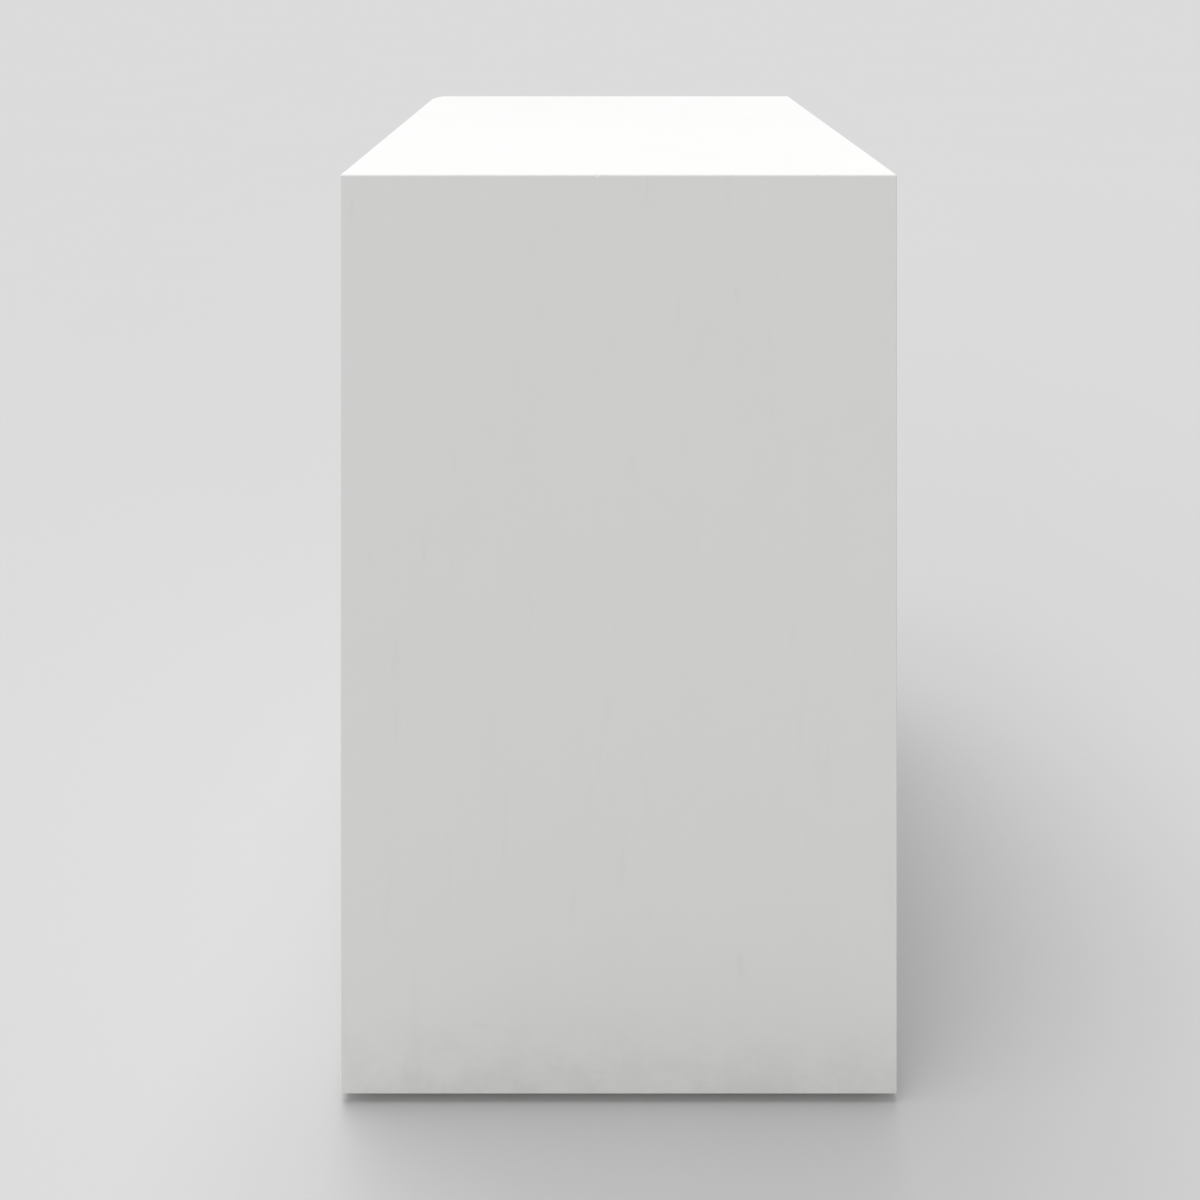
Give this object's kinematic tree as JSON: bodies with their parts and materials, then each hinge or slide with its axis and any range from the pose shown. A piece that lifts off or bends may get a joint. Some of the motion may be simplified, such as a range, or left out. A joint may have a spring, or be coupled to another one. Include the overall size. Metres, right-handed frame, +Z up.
{
  "type": "display plinth",
  "caption": "Square white display plinth: a hollow mitred box with a flat satin top, plain faces, a shadow gap at the floor, levelling feet and a removable rear panel.",
  "frame": {"origin": "on the floor, under the centre of the plinth, with the feet screwed right in", "axes": "+Z up; the plain front face looks along -Y, the access panel is on the +Y face, +X is to the right seen from the front"},
  "size_m": [0.6, 0.6, 1],
  "materials": {
    "painted_mdf": "white acrylic lacquer, satin, sprayed and rubbed down, on MDF",
    "softwood": "planed pine, bare",
    "birch_ply": "birch plywood, bare, sanded",
    "nickel_bolt": "nickel-plated steel",
    "zinc_steel": "bright zinc-plated steel",
    "black_nylon": "moulded nylon, fine spark texture"
  },
  "bodies": {
    "carcass": {"top_panel": "painted_mdf", "front_panel": "painted_mdf", "left_panel": "painted_mdf", "right_panel": "painted_mdf", "tongue_front_left": "birch_ply", "tongue_front_right": "birch_ply", "tongue_top_front": "birch_ply", "tongue_top_left": "birch_ply", "tongue_top_right": "birch_ply", "post_front_left": "softwood", "post_front_right": "softwood", "post_rear_left": "softwood", "post_rear_right": "softwood", "top_rail_front": "softwood", "top_rail_rear": "softwood", "top_rail_left": "softwood", "top_rail_right": "softwood", "top_bearer": "softwood", "mid_diaphragm": "birch_ply", "cleat_front": "softwood", "cleat_left": "softwood", "cleat_right": "softwood", "base_board": "birch_ply", "base_batten_front": "softwood", "base_batten_rear": "softwood", "base_batten_left": "softwood", "base_batten_right": "softwood", "base_screw_1": "zinc_steel", "base_screw_2": "zinc_steel", "base_screw_3": "zinc_steel", "base_screw_4": "zinc_steel", "base_screw_5": "zinc_steel", "base_screw_6": "zinc_steel", "base_screw_7": "zinc_steel", "base_screw_8": "zinc_steel", "rear_insert_1": "zinc_steel", "rear_insert_2": "zinc_steel", "rear_insert_3": "zinc_steel", "rear_insert_4": "zinc_steel", "rear_insert_5": "zinc_steel", "rear_insert_6": "zinc_steel", "foot_insert_front_left": "zinc_steel", "foot_insert_front_right": "zinc_steel", "foot_insert_rear_left": "zinc_steel", "foot_insert_rear_right": "zinc_steel"},
    "rear_panel": {"rear_access_panel": "painted_mdf", "rear_bolt_1": "nickel_bolt", "rear_bolt_2": "nickel_bolt", "rear_bolt_3": "nickel_bolt", "rear_bolt_4": "nickel_bolt", "rear_bolt_5": "nickel_bolt", "rear_bolt_6": "nickel_bolt"},
    "pad_front_left": {"foot_pad_front_left": "black_nylon"},
    "stem_front_left": {"foot_stem_front_left": "zinc_steel"},
    "pad_front_right": {"foot_pad_front_right": "black_nylon"},
    "stem_front_right": {"foot_stem_front_right": "zinc_steel"},
    "pad_rear_left": {"foot_pad_rear_left": "black_nylon"},
    "stem_rear_left": {"foot_stem_rear_left": "zinc_steel"},
    "pad_rear_right": {"foot_pad_rear_right": "black_nylon"},
    "stem_rear_right": {"foot_stem_rear_right": "zinc_steel"}
  },
  "joints": [
    {"name": "rear_panel_remove", "type": "slide", "parent": "carcass", "child": "rear_panel", "axis": [0, 1, 0], "range_m": [0, 0.4]},
    {"name": "foot_front_left_lift", "type": "slide", "parent": "carcass", "child": "pad_front_left", "axis": [0, 0, -1], "range_m": [0, 0.025]},
    {"name": "foot_front_left_turn", "type": "hinge", "parent": "pad_front_left", "child": "stem_front_left", "pos_m": [-0.225, -0.225, 0.018], "axis": [0, 0, -1], "range_deg": [0, 6000]},
    {"name": "foot_front_right_lift", "type": "slide", "parent": "carcass", "child": "pad_front_right", "axis": [0, 0, -1], "range_m": [0, 0.025]},
    {"name": "foot_front_right_turn", "type": "hinge", "parent": "pad_front_right", "child": "stem_front_right", "pos_m": [0.225, -0.225, 0.018], "axis": [0, 0, -1], "range_deg": [0, 6000]},
    {"name": "foot_rear_left_lift", "type": "slide", "parent": "carcass", "child": "pad_rear_left", "axis": [0, 0, -1], "range_m": [0, 0.025]},
    {"name": "foot_rear_left_turn", "type": "hinge", "parent": "pad_rear_left", "child": "stem_rear_left", "pos_m": [-0.225, 0.225, 0.018], "axis": [0, 0, -1], "range_deg": [0, 6000]},
    {"name": "foot_rear_right_lift", "type": "slide", "parent": "carcass", "child": "pad_rear_right", "axis": [0, 0, -1], "range_m": [0, 0.025]},
    {"name": "foot_rear_right_turn", "type": "hinge", "parent": "pad_rear_right", "child": "stem_rear_right", "pos_m": [0.225, 0.225, 0.018], "axis": [0, 0, -1], "range_deg": [0, 6000]}
  ],
  "couplings": [
    {"joint": "foot_front_left_turn", "follows": "foot_front_left_lift", "rad_per_m": 4188.8},
    {"joint": "foot_front_right_turn", "follows": "foot_front_right_lift", "rad_per_m": 4188.8},
    {"joint": "foot_rear_left_turn", "follows": "foot_rear_left_lift", "rad_per_m": 4188.8},
    {"joint": "foot_rear_right_turn", "follows": "foot_rear_right_lift", "rad_per_m": 4188.8}
  ]
}
